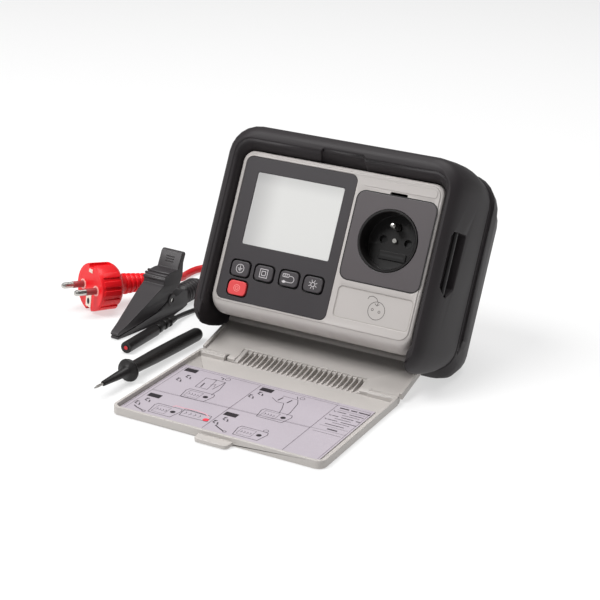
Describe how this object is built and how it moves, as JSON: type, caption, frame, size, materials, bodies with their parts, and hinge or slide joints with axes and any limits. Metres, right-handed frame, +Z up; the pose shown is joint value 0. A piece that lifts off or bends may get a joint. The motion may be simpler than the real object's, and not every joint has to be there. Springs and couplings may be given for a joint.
{
  "type": "insulation resistance tester",
  "caption": "Portable appliance insulation tester in a rubber boot, with a flip-down lid on a stand link, mains socket, keys, display, mains lead and plug, test lead, clip and probe.",
  "frame": {"origin": "middle of the flat under the rubber boot on which the leaning instrument stands", "axes": "+X across the face to the viewer's right, -Y towards the viewer and the open lid, +Z up"},
  "size_m": [0.3126, 0.3438, 0.1595],
  "materials": {
    "boot": "matt moulded rubber",
    "case": "fine texture",
    "bezel": "satin light grey",
    "panel": "satin membrane",
    "window": "clear display window over a grey display",
    "board": "circuit board",
    "socket": "satin moulding",
    "key": "satin silicone",
    "black": "satin black",
    "red": "glossy red PVC",
    "steel": "nickel plated",
    "brass": "plain",
    "label": "satin printed label",
    "cell": "printed sleeve"
  },
  "bodies": {
    "case": {"boot_front": "boot", "boot_rear": "boot", "rear_case": "case", "front_bezel": "bezel", "keypad_panel": "panel", "display_window": "window", "keypad_board": "board", "main_board": "board", "socket_plate": "socket", "socket_cup": "socket", "battery_tray": "black", "display_module": "black", "key_guide": "black", "test_relay": "black", "lead_socket": "black", "lead_plug": "black", "lead_coil": "black", "lead_cord_near": "black", "lead_cord_far": "black", "lead_connector": "black", "mains_gland": "red", "mains_coil": "red", "mains_cord_near": "red", "mains_cord_far": "red", "plug_body": "red", "strap_bar_left": "steel", "strap_bar_right": "steel", "socket_screw": "steel", "transformer": "steel", "stand_pin": "steel", "plug_pin_left": "steel", "plug_pin_right": "steel", "live_contact": "brass", "neutral_contact": "brass", "earth_pin": "brass", "battery_cell_1": "cell", "battery_cell_2": "cell", "battery_cell_3": "cell", "battery_cell_4": "cell", "battery_cell_5": "cell", "battery_cell_6": "cell"},
    "stand": {"stand_link": "bezel"},
    "lid": {"lid": "bezel", "lid_label": "label", "lid_pin_left": "steel", "lid_pin_right": "steel"},
    "battery_door": {"battery_cover": "case", "battery_cover_screw": "steel"},
    "clip": {"clip_lower_jaw": "black", "clip_pivot_pin": "steel", "clip_boot": "black"},
    "clip_jaw": {"clip_upper_jaw": "black"},
    "probe": {"probe_body": "black", "probe_guard": "black", "probe_tip": "steel"},
    "earth_key": {"key_earth": "key"},
    "insulation_key": {"key_insulation": "key"},
    "lead_key": {"key_lead": "key"},
    "lamp_key": {"key_lamp": "key"},
    "power_key": {"key_power": "red"}
  },
  "joints": [
    {"name": "earth_key_press", "type": "slide", "parent": "case", "child": "earth_key", "axis": [0, 0.9084, -0.418], "range_m": [0, 0.0009], "stiffness_N_per_m": 500},
    {"name": "insulation_key_press", "type": "slide", "parent": "case", "child": "insulation_key", "axis": [0, 0.9084, -0.418], "range_m": [0, 0.0009], "stiffness_N_per_m": 500},
    {"name": "lead_key_press", "type": "slide", "parent": "case", "child": "lead_key", "axis": [0, 0.9084, -0.418], "range_m": [0, 0.0009], "stiffness_N_per_m": 500},
    {"name": "lamp_key_press", "type": "slide", "parent": "case", "child": "lamp_key", "axis": [0, 0.9084, -0.418], "range_m": [0, 0.0009], "stiffness_N_per_m": 500},
    {"name": "power_key_press", "type": "slide", "parent": "case", "child": "power_key", "axis": [0, 0.9084, -0.418], "range_m": [0, 0.0009], "stiffness_N_per_m": 500},
    {"name": "stand_hinge", "type": "hinge", "parent": "case", "child": "stand", "pos_m": [0, -0.0204, 0.0141], "axis": [-1, 0, 0], "range_deg": [0, 39.2]},
    {"name": "lid_hinge", "type": "hinge", "parent": "stand", "child": "lid", "pos_m": [0, -0.0655, 0.0031], "axis": [-1, 0, 0], "range_deg": [0, 75.5]},
    {"name": "battery_door_lift", "type": "slide", "parent": "case", "child": "battery_door", "axis": [0, 0.9084, -0.418], "range_m": [0, 0.03]},
    {"name": "clip_lift", "type": "slide", "parent": "case", "child": "clip", "axis": [0, 0, 1], "range_m": [0, 0.05]},
    {"name": "clip_jaw_hinge", "type": "hinge", "parent": "clip", "child": "clip_jaw", "pos_m": [-0.14564, -0.01306, 0.0143], "axis": [-0.999, 0.0445, 0], "range_deg": [0, 18], "stiffness_Nm_per_rad": 0.12, "springref_deg": -17.19},
    {"name": "probe_lift", "type": "slide", "parent": "case", "child": "probe", "axis": [-0.6, -0.3, 0.7416], "range_m": [0, 0.04]}
  ]
}
